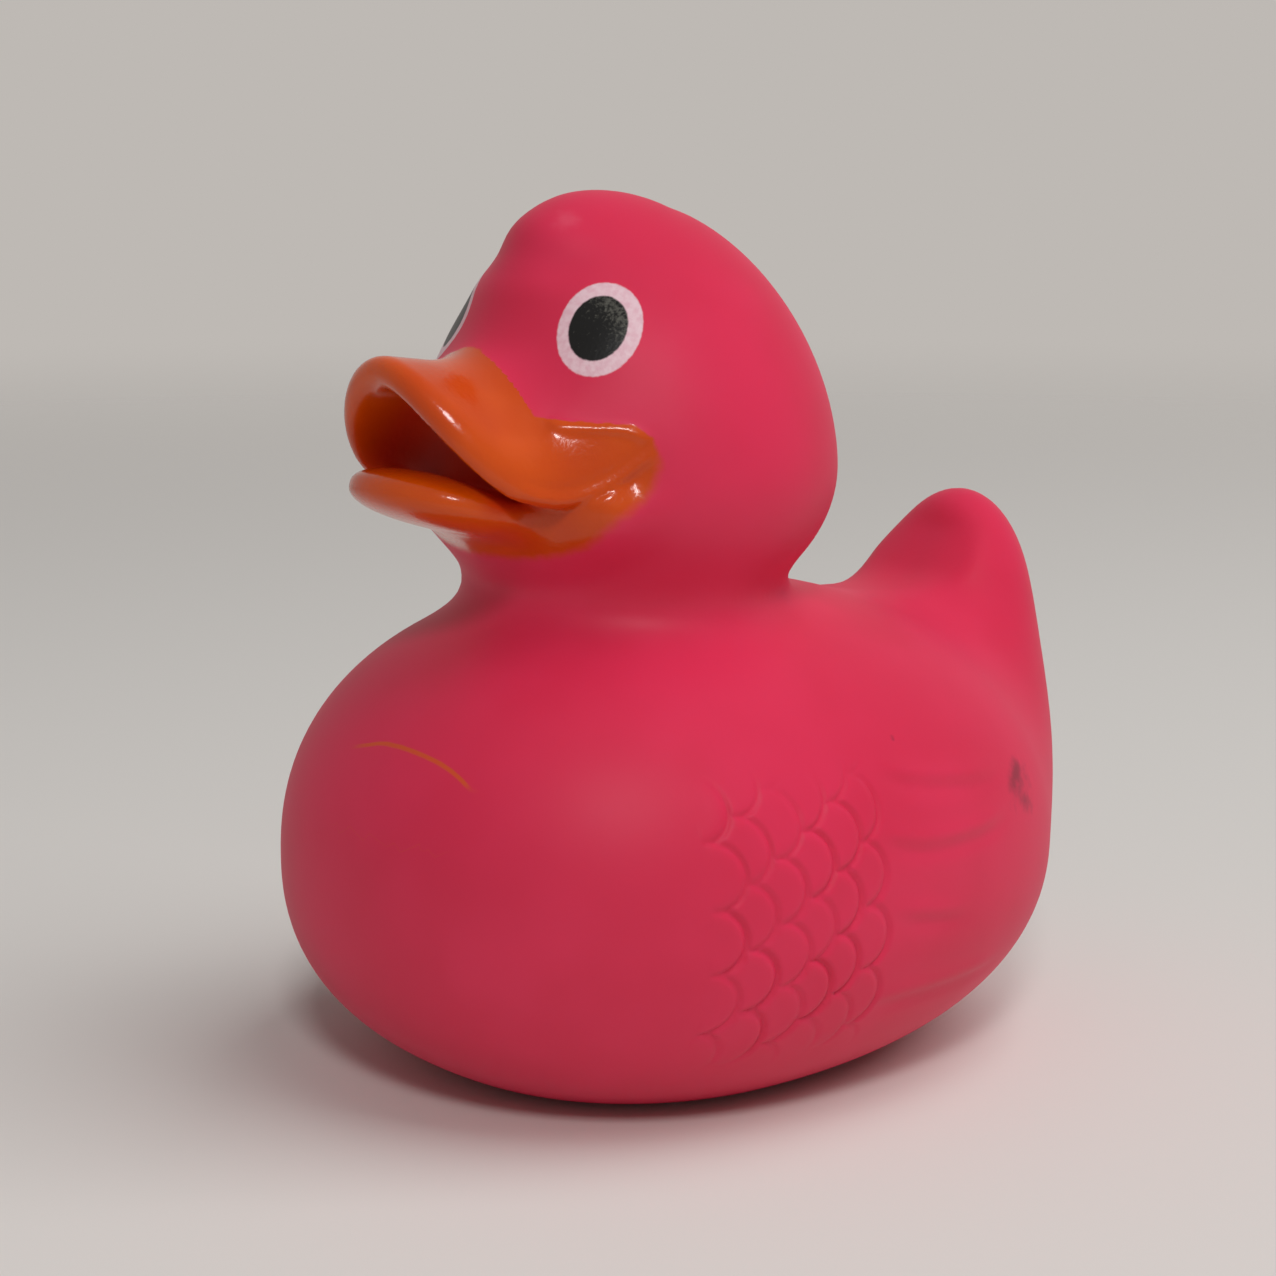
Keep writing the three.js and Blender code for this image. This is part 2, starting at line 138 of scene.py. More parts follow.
def duck(p):
    """Height over the duck's outside at points p, in millimetres"""
    x, y, z = np.abs(p[:, 0]), p[:, 1], p[:, 2]
    bare = bare_duck(p)
    back = y - MOUTH_LOW[0]
    over_mouth = z - MOUTH_LOW[1] - back**2 / (2 * MOUTH_RADIUS)
    upper_share = ramp(-0.7, 0.3, over_mouth + 3 * ramp(-2.4, -6.4, back))
    lower_share = ramp(1.1, 0.1, over_mouth)
    upper = blend(bare, upper_bill(p), UPPER_BILL_FILLET)
    jaw = blend(bare, egg(p, CHEEK_AT, **CHEEK), CHEEK_FILLET)
    jaw = blend(jaw, egg(p, LOWER_AT, **LOWER_BILL), LOWER_BILL_FILLET)
    face = np.minimum(bare + (upper - bare) * upper_share, bare + (jaw - bare) * lower_share)
    crease_width = np.where(over_mouth > 0, CREASE_WIDTH, CREASE_FADE)
    crease = CREASE_DEPTH * np.exp(-((over_mouth / crease_width) ** 2))
    swell = LIP_SWELL * np.exp(-(((over_mouth - LIP_SWELL_HEIGHT) / LIP_SWELL_WIDTH) ** 2))
    groove = LIP_GROOVE * np.exp(-(((over_mouth - LIP_GROOVE_HEIGHT) / LIP_GROOVE_WIDTH) ** 2))
    on_cheek = ramp(*CREASE_IN, back) * ramp(*CREASE_OUT, back) * ramp(*CREASE_ASIDE, x)
    return face + (crease - swell + groove) * on_cheek


def slope_of(form, p, probe=0.01):
    """Which way a form's height rises at points p, and how steeply"""
    steps = np.eye(3) * probe
    return np.stack([form(p + s) - form(p - s) for s in steps], axis=1) / (2 * probe)


def distance_to_outline(points, outline):
    """Signed distance of flat points to a closed outline, less than 0 inside"""
    start, step = outline, np.roll(outline, -1, axis=0) - outline
    best = np.full(len(points), 1e9)
    inside = np.zeros(len(points), bool)
    for (sx, sz), (dx, dz) in zip(start, step):
        ox, oz = points[:, 0] - sx, points[:, 1] - sz
        t = np.clip((ox * dx + oz * dz) / (dx * dx + dz * dz), 0, 1)
        best = np.minimum(best, np.hypot(ox - t * dx, oz - t * dz))
        crosses = (points[:, 1] < sz) != (points[:, 1] < sz + dz)
        reach = sx + dx * (points[:, 1] - sz) / (dz if dz else 1e-9)
        inside ^= crosses & (points[:, 0] < reach)
    return np.where(inside, -best, best)


def rounded(points, steps=8):
    """A smooth curve through points"""
    points = np.array(points, float)
    ends = np.vstack([2 * points[0] - points[1], points, 2 * points[-1] - points[-2]])
    t = np.linspace(0, 1, steps, endpoint=False)[:, None]
    spans = []
    for a, b, c, d in zip(ends, ends[1:], ends[2:], ends[3:]):
        bend = 2 * a - 5 * b + 4 * c - d
        spans.append(0.5 * (2 * b + (c - a) * t + bend * t**2 + (3 * (b - c) + d - a) * t**3))
    return np.vstack(spans + [points[-1:]])


# Edge of the sprayed colour from the bill's root round the cheek to the throat, seen from the front (x, z)
PAINT_EDGE = [
    (0.0, 67.3), (1.6, 67.0), (5.3, 64.5), (8.9, 62.4), (10.4, 61.8), (13.0, 61.5), (15.4, 61.2),
    (16.8, 59.4), (17.0, 57.0), (15.9, 53.6), (12.6, 50.8), (6.9, 49.3), (0.0, 49.0),
]
FAR = 9.0  # stands for far away from what a map marks
FEATHER_MAP = "feather_patch"  # share of the feathers on the skin
BEAD_HEIGHT, BEAD_INSIDE, BEAD_WIDTH = 0.2, 0.5, 0.45  # raised rim along the top edge of the bill


def paint_distance(p):
    """Distance in millimetres to the edge of the sprayed colour, less than 0 on the bill"""
    half = rounded(PAINT_EDGE)
    outline = np.vstack([half, half[-2:0:-1] * [-1, 1]])
    y, z = p[:, 1], p[:, 2]
    paint = distance_to_outline(np.column_stack([p[:, 0], z]), outline)
    paint = np.where((y < -19) & (z > 47.5), np.minimum(paint, y + 19), paint)
    return np.where((y > -9) | (z < 46), FAR, paint)


def bead_offset(p):
    """The raised rim where the bill's top edge meets the head"""
    bead = BEAD_HEIGHT * np.exp(-(((paint_distance(p) + BEAD_INSIDE) / BEAD_WIDTH) ** 2))
    return bead * ramp(59.5, 60.7, p[:, 2]) * ramp(-18.6, -17.6, p[:, 1])


# The part stands with its box centred, so its forms sit forward by this much (y, millimetres)
SHIFT = np.array([0.0, -6.674, 0.0])
SKIN_LIMIT = -1.8  # what lies deeper than this under the outside belongs to the hollow
VENT_ROOM = 2.6  # the vent hole in the foot keeps its own shape within this radius


def places(bm):
    """The mesh's points in millimetres, where the forms are"""
    return np.array([v.co for v in bm.verts]) / MM - SHIFT


def on_skin(p):
    """Which points lie on the outside, and not in the hollow or the vent hole"""
    in_vent = (np.hypot(p[:, 0], p[:, 1]) < VENT_ROOM) & (p[:, 2] < 3)
    return (duck(p) > SKIN_LIMIT) & ~in_vent


def settled(p, rounds=4):
    """Points moved straight onto the duck's outside"""
    for _ in range(rounds):
        slope = slope_of(duck, p)
        move = -duck(p) / np.maximum((slope**2).sum(1), 0.25)
        p = p + np.clip(move, -0.4, 0.4)[:, None] * slope
    return p


# Longest edges of the skin in millimetres, by what it carries there
BODY_EDGE, HEAD_EDGE, WING_EDGE, BILL_EDGE = 1.1, 0.8, 0.6, 0.45
RIM_EDGE, FEATHER_EDGE, EYE_EDGE = 0.28, 0.27, 0.26
REFINING_ROUNDS = 4
SPLIT_OVER = 1.3  # an edge is split when it is this many times too long
MERGE_DISTANCE = 1e-7


def edge_wanted(p):
    """Longest edge that the skin may have at points p: short where the shape or the finish is fine"""
    x, y, z = np.abs(p[:, 0]), p[:, 1], p[:, 2]
    on_bill = (z > 47) & (z < 71) & (y < -12)
    on_rim = (np.abs(paint_distance(p) + BEAD_INSIDE) < 1.3) & (z > 59)
    near_eyes = (np.hypot(y + 13.4, z - 69.2) < 6.5) & (y < 0)
    on_wing = (x > 18) & (y > 0) & (y < 25) & (z > 7) & (z < 34)
    on_feathers = (x > 20) & (y > -19) & (y < 4) & (z > 6) & (z < 34)
    wanted = np.where(z > 42, HEAD_EDGE, BODY_EDGE)
    wanted = np.where(on_bill, BILL_EDGE, wanted)
    wanted = np.where(on_rim, RIM_EDGE, wanted)
    wanted = np.where(near_eyes, EYE_EDGE, wanted)
    wanted = np.where(on_wing, WING_EDGE, wanted)
    return np.where(on_feathers, FEATHER_EDGE, wanted)


def evened(p, ends, free, rounds=3):
    """Free points drifted towards the middle of their neighbours, and settled again"""
    for _ in range(rounds):
        total, count = np.zeros_like(p), np.zeros((len(p), 1))
        for one, other in ((0, 1), (1, 0)):
            np.add.at(total, ends[:, one], p[ends[:, other]])
            np.add.at(count, ends[:, one], 1)
        drift = (total / np.maximum(count, 1) - p) * 0.5
        p = p.copy()
        p[free] = settled(p[free] + drift[free], rounds=3)
    return p


def smooth_skin():
    """A finer copy of the moulding, with its outside laid on the true curves"""
    bm = bmesh.new()
    bm.from_mesh(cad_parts["duck_shell"].data)
    bmesh.ops.remove_doubles(bm, verts=bm.verts, dist=MERGE_DISTANCE)
    for _ in range(REFINING_ROUNDS):
        p = places(bm)
        outside = on_skin(p)
        p[outside] = settled(p[outside])
        for vert, place in zip(bm.verts, (p + SHIFT) * MM):
            vert.co = place
        bm.verts.index_update()
        ends = np.array([[v.index for v in e.verts] for e in bm.edges])
        length = np.linalg.norm(p[ends[:, 0]] - p[ends[:, 1]], axis=1)
        long = outside[ends].all(1) & (length > SPLIT_OVER * edge_wanted(p[ends].mean(1)))
        edges = [edge for edge, chosen in zip(bm.edges, long) if chosen]
        bmesh.ops.subdivide_edges(bm, edges=edges, cuts=1)
        bmesh.ops.triangulate(bm, faces=[f for f in bm.faces if len(f.verts) > 3])
    p = places(bm)
    outside = on_skin(p)
    bm.verts.index_update()
    ends = np.array([[v.index for v in e.verts] for e in bm.edges])
    free = outside.copy()
    free[ends[~outside[ends].all(1)].ravel()] = False
    p = evened(p, ends, free)
    mesh = bpy.data.meshes.new("duck")
    bm.to_mesh(mesh)
    bm.free()
    return mesh, p, outside


EYE_AT = np.array([10.4, -12.6, 69.1])
EYE_ACROSS = np.array([0.747, 0.652, 0.127])
EYE_UP = np.array([-0.4, 0.289, 0.87])
EYE_LEAN = 0.25
RIGHT_EYE_IN, RIGHT_EYE_UP = 2.7, 0.5  # how far the right eye's print sits off the left one's mirror image
EYE_WHITE = (3.73, 4.49)
PUPIL = (2.6, 3.12)
EYE_BOSS, EYE_BOSS_WIDTH = 0.3, 4.5  # the head swells a little under each eye
PUPIL_OFF = (-0.11, 0.03)  # how far the pupil sits off the middle of the white, across and up
# A thin stray line of bill colour on the breast, from its start over its middle to its end (x, z)
STRAY_LINE = [(-3.1, 32.5), (1.0, 33.4), (5.1, 33.4), (9.5, 32.7), (13.0, 31.2)]
# Rubbed-in dirt and specks on the left side: where (y, z), how long and how narrow, how steeply it leans, how faint
SMUDGES = [
    (23.2, 27.9, 2.8, 1.3, 0.4, 0.0),
    (24.2, 25.2, 2.2, 1.3, -0.5, 0.0),
    (23.6, 26.8, 5.0, 3.6, 0.2, 0.55),
    (6.5, 33.7, 0.45, 0.3, 0.0, 0.0),
]
SCUFF_AT, SCUFF_SIZE = np.array([3.4, -10.9, 78.2]), 1.7  # rubbed place on the tuft
# Long soft edges of the wing feathers behind the scales (y, z)
WING_EDGES = [
    [(1.5, 26.2), (7.4, 24.7), (15.3, 24.5), (21.0, 25.2)],
    [(2.5, 31.5), (8.9, 29.9), (16.7, 28.9), (21.0, 29.0)],
    [(2.4, 19.3), (9.4, 18.0), (14.5, 17.4)],
    [(1.5, 11.2), (10.0, 11.0), (22.0, 10.8)],
]
WING_STEP, WING_SOFTNESS = 0.42, 0.9
WING_FADE_IN, WING_FADE_OUT = 4, 6
# Crease round the tuft: where its middle lies (y), its radius, and the low swell inside it
TUFT_RIM_AT, TUFT_RIM_RADIUS = -6.6, 8.0
TUFT_CREASE, TUFT_CREASE_WIDTH, TUFT_CREASE_BEHIND = 0.5, 1.2, 0.16
TUFT_SWELL, TUFT_SWELL_WIDTH, TUFT_SWELL_INSIDE = 0.12, 1.8, 2.4
# Hollow in the tail's front face, the ridges beside it and the step at its foot
TAIL_DISH, TAIL_DISH_WIDTH = 0.9, 4.8
TAIL_RIDGE, TAIL_RIDGE_WIDTH, TAIL_RIDGE_AT = 0.45, 1.7, 7.0
TAIL_STEP, TAIL_STEP_WIDTH, TAIL_STEP_AT = 0.35, 1.5, 40.5


def eye_place(p, off=(0.0, 0.0)):
    """Place on the eye next to p in millimetres: across, up, and whether p is on the front of the head at all"""
    up = EYE_UP * math.cos(EYE_LEAN) + EYE_ACROSS * math.sin(EYE_LEAN)
    across = EYE_ACROSS * math.cos(EYE_LEAN) - EYE_UP * math.sin(EYE_LEAN)
    on_right = (p[:, 0] < 0)[:, None]
    at = EYE_AT + off[0] * across + off[1] * up + on_right * (RIGHT_EYE_UP * EYE_UP - RIGHT_EYE_IN * EYE_ACROSS)
    from_eye = np.column_stack([np.abs(p[:, 0]), p[:, 1], p[:, 2]]) - at
    return from_eye @ across, from_eye @ up, (p[:, 1] < 0) & (p[:, 2] > 60)


def oval(p, half, off=(0.0, 0.0)):
    """Distance in millimetres outside an oval on either side of the head"""
    across, up, near = eye_place(p, off)
    distance = (np.hypot(across / half[0], up / half[1]) - 1) * (half[0] + half[1]) / 2
    return np.where(near, distance, FAR)


def eye_offset(p):
    """The low swell under each eye"""
    across, up, near = eye_place(p)
    return EYE_BOSS * np.exp(-(across**2 + up**2) / EYE_BOSS_WIDTH**2) * near


def wing_offset(p):
    """Each wing feather stands a little proud of the one under it"""
    offset = np.zeros(len(p))
    for edge in WING_EDGES:
        line = rounded(edge)
        over = p[:, 2] - np.interp(p[:, 1], line[:, 0], line[:, 1])
        start, end = line[0, 0], line[-1, 0]
        along = ramp(start, start + WING_FADE_IN, p[:, 1]) * ramp(end, end - WING_FADE_OUT, p[:, 1])
        offset += WING_STEP * over / WING_SOFTNESS * np.exp(-((over / WING_SOFTNESS) ** 2)) * along
    return offset * ramp(14, 22, np.abs(p[:, 0]))


def tuft_offset(p):
    """The tuft's rim: a crease before the forehead and a shallow dip behind"""
    x, y, z = p[:, 0], p[:, 1], p[:, 2]
    rim = np.hypot(x, y - TUFT_RIM_AT) - TUFT_RIM_RADIUS
    crease = -TUFT_CREASE * np.exp(-((rim / TUFT_CREASE_WIDTH) ** 2))
    swell = TUFT_SWELL * np.exp(-(((rim + TUFT_SWELL_INSIDE) / TUFT_SWELL_WIDTH) ** 2))
    front, rear = ramp(-9, -14, y), ramp(-1, 1.5, y)
    return (crease + swell) * (front + TUFT_CREASE_BEHIND * rear) * ramp(71, 74, z)


def tail_offset(p):
    """The tail's front face is dished between two soft ridges, with a low step at its foot"""
    x, y, z = np.abs(p[:, 0]), p[:, 1], p[:, 2]
    dish = -TAIL_DISH * np.exp(-((x / TAIL_DISH_WIDTH) ** 2))
    ridge = TAIL_RIDGE * np.exp(-(((x - TAIL_RIDGE_AT) / TAIL_RIDGE_WIDTH) ** 2))
    step = TAIL_STEP * np.exp(-(((z - TAIL_STEP_AT) / TAIL_STEP_WIDTH) ** 2)) * ramp(11, 5, x)
    return ((dish + ridge) * ramp(40, 43.5, z) * ramp(50, 47, z) + step) * ramp(40, 36, y) * ramp(24, 28, y)


def skin_maps(p):
    """What the finish and the feathers follow, for each point of the skin: distances in millimetres and shares"""
    x, y, z = np.abs(p[:, 0]), p[:, 1], p[:, 2]
    line = rounded(STRAY_LINE)
    stray = z - np.interp(p[:, 0], line[:, 0], line[:, 1])
    stray = np.where((y < -15) & (z > 26) & (z < 40), stray, FAR)
    on_left = p[:, 0] > 10
    dirt = np.full(len(p), FAR)
    for at_y, at_z, long, narrow, lean, faint in SMUDGES:
        along = math.cos(lean) * (y - at_y) + math.sin(lean) * (z - at_z)
        across = math.cos(lean) * (z - at_z) - math.sin(lean) * (y - at_y)
        dirt = np.minimum(dirt, np.hypot(along / long, across / narrow) + faint)
    over, _, _ = over_sheet(p)
    across, up, _ = eye_place(p)
    patch = ramp(-18.5, -13.5, y) * ramp(5, 4, y) * ramp(33.5, 28.5, z) * ramp(6.5, 10.5, z)
    return {
        "paint_distance": paint_distance(p),
        "paint_feather": ramp(60.5, 57, z) * ramp(-24, -20, y),
        "eye_white_distance": oval(p, EYE_WHITE),
        "pupil_distance": oval(p, PUPIL, PUPIL_OFF),
        "stray_across": stray,
        # Painted sheen on the pupil, paler towards its upper rear side
        "pupil_painted_sheen": ramp(-1.5, 3.5, across + up),
        # Painted shade: how deep in the mouth a point lies, where the lacquer is painted darker
        "mouth_painted_shade": ramp(0, -0.7, over) * ramp(-25, -21.5, y) * ramp(10.5, 9, x) * ramp(53.2, 54.6, z),
        "stray_along": ramp(-3.6, -1, p[:, 0]) * ramp(13.0, 12.0, p[:, 0]),
        "dirt_distance": np.where(on_left, dirt, FAR),
        "scuff_distance": np.linalg.norm(p - SCUFF_AT, axis=1) / SCUFF_SIZE,
        FEATHER_MAP: patch * ramp(16, 22, x),
    }


def add(tree, kind, *values, into=None, **settings):
    """Adds a node with its settings and inputs, in order or by name; a node as an input feeds its first output"""
    node = tree.nodes.new(kind)
    for name, value in settings.items():
        setattr(node, name, value)
    for key, value in [*enumerate(values), *(into or {}).items()]:
        source = value.outputs[0] if isinstance(value, bpy.types.Node) else value
        if isinstance(source, bpy.types.NodeSocket):
            tree.links.new(source, node.inputs[key])
        else:
            node.inputs[key].default_value = source
    return node


MATH = "ShaderNodeMath"
# Moulded feathers on the sides, sizes in millimetres
FEATHERS = {
    "Column Spacing": 2.9,
    "Row Pitch": 5.6,
    "Arc Radius": 3.0,
    "Row Drop": 0.85,
    "First Column": -12.3,
    "First Row": 24.8,
    "Columns": 6.0,
    "Groove Width": 0.26,
    "Groove Depth": 0.32,
    "Feather Swell": 0.06,
    "Unevenness": 0.7,
}
FEATHER_SEED = 7.0
SWELL_BEHIND_EDGE, SWELL_WIDTH = 0.9, 0.7


def feather_relief(material):
    """Node tree that presses columns of overlapping feather arcs into the sides"""
    tree = bpy.data.node_groups.new("feather_relief", "GeometryNodeTree")
    node = partial(add, tree)
    tree.interface.new_socket("Geometry", in_out="INPUT", socket_type="NodeSocketGeometry")
    tree.interface.new_socket("Geometry", in_out="OUTPUT", socket_type="NodeSocketGeometry")
    for name, value in FEATHERS.items():
        socket = tree.interface.new_socket(name, in_out="INPUT", socket_type="NodeSocketFloat")
        socket.default_value = value
    given = node("NodeGroupInput").outputs
    spacing, pitch, radius = given["Column Spacing"], given["Row Pitch"], given["Arc Radius"]

    place = node("ShaderNodeSeparateXYZ", node("GeometryNodeInputPosition")).outputs
    back = node(MATH, place["Y"], 1 / MM, -float(SHIFT[1]), operation="MULTIPLY_ADD")
    height = node(MATH, place["Z"], MM, operation="DIVIDE")
    from_first = node(MATH, back, given["First Column"], operation="SUBTRACT")
    column_before = node(MATH, node(MATH, from_first, spacing, operation="DIVIDE"), operation="FLOOR")
    last_column = node(MATH, given["Columns"], 0.5, operation="SUBTRACT")
    least_strength = node(MATH, given["Unevenness"], -0.5, 1.0, operation="MULTIPLY_ADD")
    grooves, swells = [], []
    for step in (0.0, 1.0):
        # Which feather of this column the point lies next to; every second column is set half a row higher
        column = node(MATH, column_before, step, operation="ADD")
        odd = node(MATH, column, 2.0, operation="FLOORED_MODULO")
        half_rows = node(MATH, odd, 0.5, operation="MULTIPLY")
        drop = node(MATH, column, given["Row Drop"], operation="MULTIPLY")
        start = node(MATH, given["First Row"], drop, operation="SUBTRACT")
        start = node(MATH, half_rows, pitch, start, operation="MULTIPLY_ADD")
        up = node(MATH, height, start, operation="SUBTRACT")
        row = node(MATH, node(MATH, up, pitch, operation="DIVIDE"), operation="ROUND")
        up = node(MATH, up, node(MATH, row, pitch, operation="MULTIPLY"), operation="SUBTRACT")
        # Each feather is cut by hand: a little forward or back of its place, a little deeper or shallower
        which = node("ShaderNodeCombineXYZ", column, row, FEATHER_SEED)
        chance = node("ShaderNodeTexWhiteNoise", into={"Vector": which}, noise_dimensions="3D").outputs["Color"]
        chance = node("ShaderNodeSeparateXYZ", chance).outputs
        off_middle = node(MATH, chance[0], 0.5, operation="SUBTRACT")
        behind = node(MATH, from_first, node(MATH, column, spacing, operation="MULTIPLY"), operation="SUBTRACT")
        behind = node(MATH, off_middle, given["Unevenness"], behind, operation="MULTIPLY_ADD")
        ahead = node(MATH, behind, radius, operation="ADD")
        strength = node(MATH, chance[1], given["Unevenness"], least_strength, operation="MULTIPLY_ADD")
        in_patch = node(MATH, column, -0.5, operation="GREATER_THAN")
        in_patch = node(MATH, in_patch, node(MATH, column, last_column, operation="LESS_THAN"), operation="MULTIPLY")
        on_front = node(MATH, node(MATH, ahead, 0.0, operation="GREATER_THAN"), in_patch, operation="MULTIPLY")
        share = node(MATH, on_front, strength, operation="MULTIPLY")
        # The groove runs along the feather's round edge, and the feather swells a little behind it
        square = node(MATH, up, up, operation="MULTIPLY")
        square = node(MATH, ahead, ahead, square, operation="MULTIPLY_ADD")
        from_edge = node(MATH, node(MATH, square, operation="SQRT"), radius, operation="SUBTRACT")
        widths = node(MATH, from_edge, given["Groove Width"], operation="DIVIDE")
        fall = node(MATH, node(MATH, widths, widths, operation="MULTIPLY"), -1.0, operation="MULTIPLY")
        groove = node(MATH, fall, operation="EXPONENT")
        grooves.append(node(MATH, groove, share, operation="MULTIPLY"))
        widths = node(MATH, node(MATH, from_edge, SWELL_BEHIND_EDGE, operation="ADD"), SWELL_WIDTH, operation="DIVIDE")
        fall = node(MATH, node(MATH, widths, widths, operation="MULTIPLY"), -1.0, operation="MULTIPLY")
        swell = node(MATH, fall, operation="EXPONENT")
        swells.append(node(MATH, swell, share, operation="MULTIPLY"))
    cut = node(MATH, node(MATH, *grooves, operation="MAXIMUM"), given["Groove Depth"], operation="MULTIPLY")
    rise = node(MATH, node(MATH, *swells, operation="MAXIMUM"), given["Feather Swell"], operation="MULTIPLY")
    rise = node(MATH, rise, cut, operation="SUBTRACT")
    patch = node("GeometryNodeInputNamedAttribute", FEATHER_MAP, data_type="FLOAT")
    rise = node(MATH, node(MATH, rise, patch, operation="MULTIPLY"), MM, operation="MULTIPLY")
    normal = node("GeometryNodeInputNormal")
    offset = node("ShaderNodeVectorMath", normal, into={"Scale": rise}, operation="SCALE")
    moved = node("GeometryNodeSetPosition", into={"Geometry": given["Geometry"], "Offset": offset})
    real = node("GeometryNodeRealizeInstances", moved)
    coated = node("GeometryNodeSetMaterial", real, into={"Material": material})
    node("NodeGroupOutput", coated)
    return tree


def colour(hex_value):
    """Linear colour of an sRGB hex value"""
    parts = [int(hex_value[i : i + 2], 16) / 255 for i in (1, 3, 5)]
    return [c / 12.92 if c <= 0.04045 else ((c + 0.055) / 1.055) ** 2.4 for c in parts] + [1.0]


# Maps on the skin that the finish and the feathers follow, and what each holds far away from what it marks
SKIN_MAPS = {
    "paint_distance": FAR,
    "paint_feather": 0.0,
    "eye_white_distance": FAR,
    "pupil_distance": FAR,
    "pupil_painted_sheen": 0.0,
    "mouth_painted_shade": 0.0,
    "stray_across": FAR,
    "stray_along": 0.0,
    "dirt_distance": FAR,
    "scuff_distance": FAR,
    FEATHER_MAP: 0.0,
}
# Sizes in millimetres of the patterns in the finish, and how many finer layers each carries.
# The vinyl's bloom and the ink's grain are far finer; they are drawn at these sizes so that they show.
GRAIN = {
    "vinyl cloud": (14.0, 2.0),
    "bloom": (0.5, 3.0),
    "dirt": (1.6, 4.0),
    "stray wobble": (3.0, 2.0),
    "paint edge": (1.1, 3.0),
    "paint cloud": (9.0, 2.0),
    "orange peel": (0.5, 2.0),
    "print edge": (0.5, 2.0),
    "thin white": (0.6, 2.0),
    "grainy black": (0.3, 3.0),
}
MIX, SMOOTH = "ShaderNodeMix", "ShaderNodeMapRange"
BUMP_REACH = 0.0002


def duck_finish():
    """Pink soft PVC with a sprayed lacquer bill and pad-printed eyes, on one moulding"""
    material = bpy.data.materials.new("soft_pvc_sprayed_and_printed")
    material.use_nodes = True
    material.node_tree.nodes.clear()
    node = partial(add, material.node_tree)
    here = node("ShaderNodeTexCoord").outputs["Object"]
    on = {
        name: node("ShaderNodeAttribute", attribute_name=name).outputs["Fac"]
        for name in SKIN_MAPS if name != FEATHER_MAP
    }
    grain = {
        name: node("ShaderNodeTexNoise", into={"Vector": here, "Scale": 1 / (size * MM), "Detail": detail})
        for name, (size, detail) in GRAIN.items()
    }
    soft, rgb = dict(interpolation_type="SMOOTHSTEP"), dict(data_type="RGBA")

    # Soft PVC, slush moulded: an even satin pink that glows a little where light enters it
    cloud = node(SMOOTH, grain["vinyl cloud"], 0.35, 0.65, **soft)
    pink = node(MIX, into={0: cloud, 6: colour("#E03056"), 7: colour("#DA2C50")}, **rgb).outputs[2]
    # Dirt rubbed into one side, and a paler scuff on the tuft
    ragged = node(MATH, grain["dirt"], 1.4, -0.7, operation="MULTIPLY_ADD")
    near = node(MATH, on["dirt_distance"], ragged, operation="ADD")
    dirt = node(MATH, node(SMOOTH, near, 1.15, 0.0, **soft), 0.6, operation="MULTIPLY")
    pink = node(MIX, into={0: dirt, 6: pink, 7: colour("#46222E")}, **rgb).outputs[2]
    near = node(MATH, on["scuff_distance"], ragged, operation="ADD")
    scuff = node(MATH, node(SMOOTH, near, 1.0, 0.0, **soft), 0.16, operation="MULTIPLY")
    pink = node(MIX, into={0: scuff, 6: pink, 7: colour("#EE8A9C")}, **rgb).outputs[2]
    # A hair of bill lacquer that strayed onto the breast
    wobble = node(MATH, grain["stray wobble"], 0.24, -0.12, operation="MULTIPLY_ADD")
    across = node(MATH, node(MATH, on["stray_across"], wobble, operation="ADD"), operation="ABSOLUTE")
    stray = node(MATH, node(SMOOTH, across, 0.24, 0.08, **soft), on["stray_along"], operation="MULTIPLY")
    stray = node(MATH, stray, 0.85, operation="MULTIPLY")
    pink = node(MIX, into={0: stray, 6: pink, 7: colour("#D8581A")}, **rgb).outputs[2]
    bloom = node("ShaderNodeBump", into={"Height": grain["bloom"], "Strength": 0.05, "Distance": BUMP_REACH})
    vinyl = node("ShaderNodeBsdfPrincipled", into={
        "Base Color": pink, "Roughness": 0.52, "IOR": 1.53, "Specular IOR Level": 0.3, "Subsurface Weight": 0.22,
        "Subsurface Radius": (1.0, 0.25, 0.3), "Subsurface Scale": 0.003, "Normal": bloom,
    })

    # Sprayed lacquer: glossy orange with a faint orange peel, masked along the top and feathered below
    ragged = node(MATH, grain["paint edge"], 0.5, -0.25, operation="MULTIPLY_ADD")
    feather = node(MATH, on["paint_feather"], 0.4, 0.1, operation="MULTIPLY_ADD")
    near = node(MATH, on["paint_distance"], ragged, operation="ADD")
    paint = node(SMOOTH, node(MATH, near, feather, operation="DIVIDE"), 1.0, -1.0, **soft)
    cloud = node(SMOOTH, grain["paint cloud"], 0.35, 0.65, **soft)
    orange = node(MIX, into={0: cloud, 6: colour("#D85004"), 7: colour("#CE4602")}, **rgb).outputs[2]
    peel = node("ShaderNodeBump", into={"Height": grain["orange peel"], "Strength": 0.16, "Distance": BUMP_REACH})
    lacquer = node("ShaderNodeBsdfPrincipled", into={
        "Base Color": orange, "Roughness": 0.2, "IOR": 1.48, "Specular IOR Level": 0.3,
        "Coat Weight": 0.2, "Coat Roughness": 0.06, "Subsurface Weight": 0.1,
        "Subsurface Radius": (1.0, 0.3, 0.05), "Subsurface Scale": 0.0015, "Normal": peel,
    })

    # Deep in the mouth the lacquer is painted a redder, darker orange as painted shade for the recess, and it is
    # rougher there
    painted_shade_red = node(MIX, into={0: cloud, 6: colour("#D2380C"), 7: colour("#C62C0A")}, **rgb).outputs[2]
    throat = node("ShaderNodeBsdfPrincipled", into={
        "Base Color": painted_shade_red, "Roughness": 0.55, "IOR": 1.48, "Specular IOR Level": 0.2, "Normal": peel,
    })
    sprayed = node("ShaderNodeMixShader", on["mouth_painted_shade"], lacquer, throat)

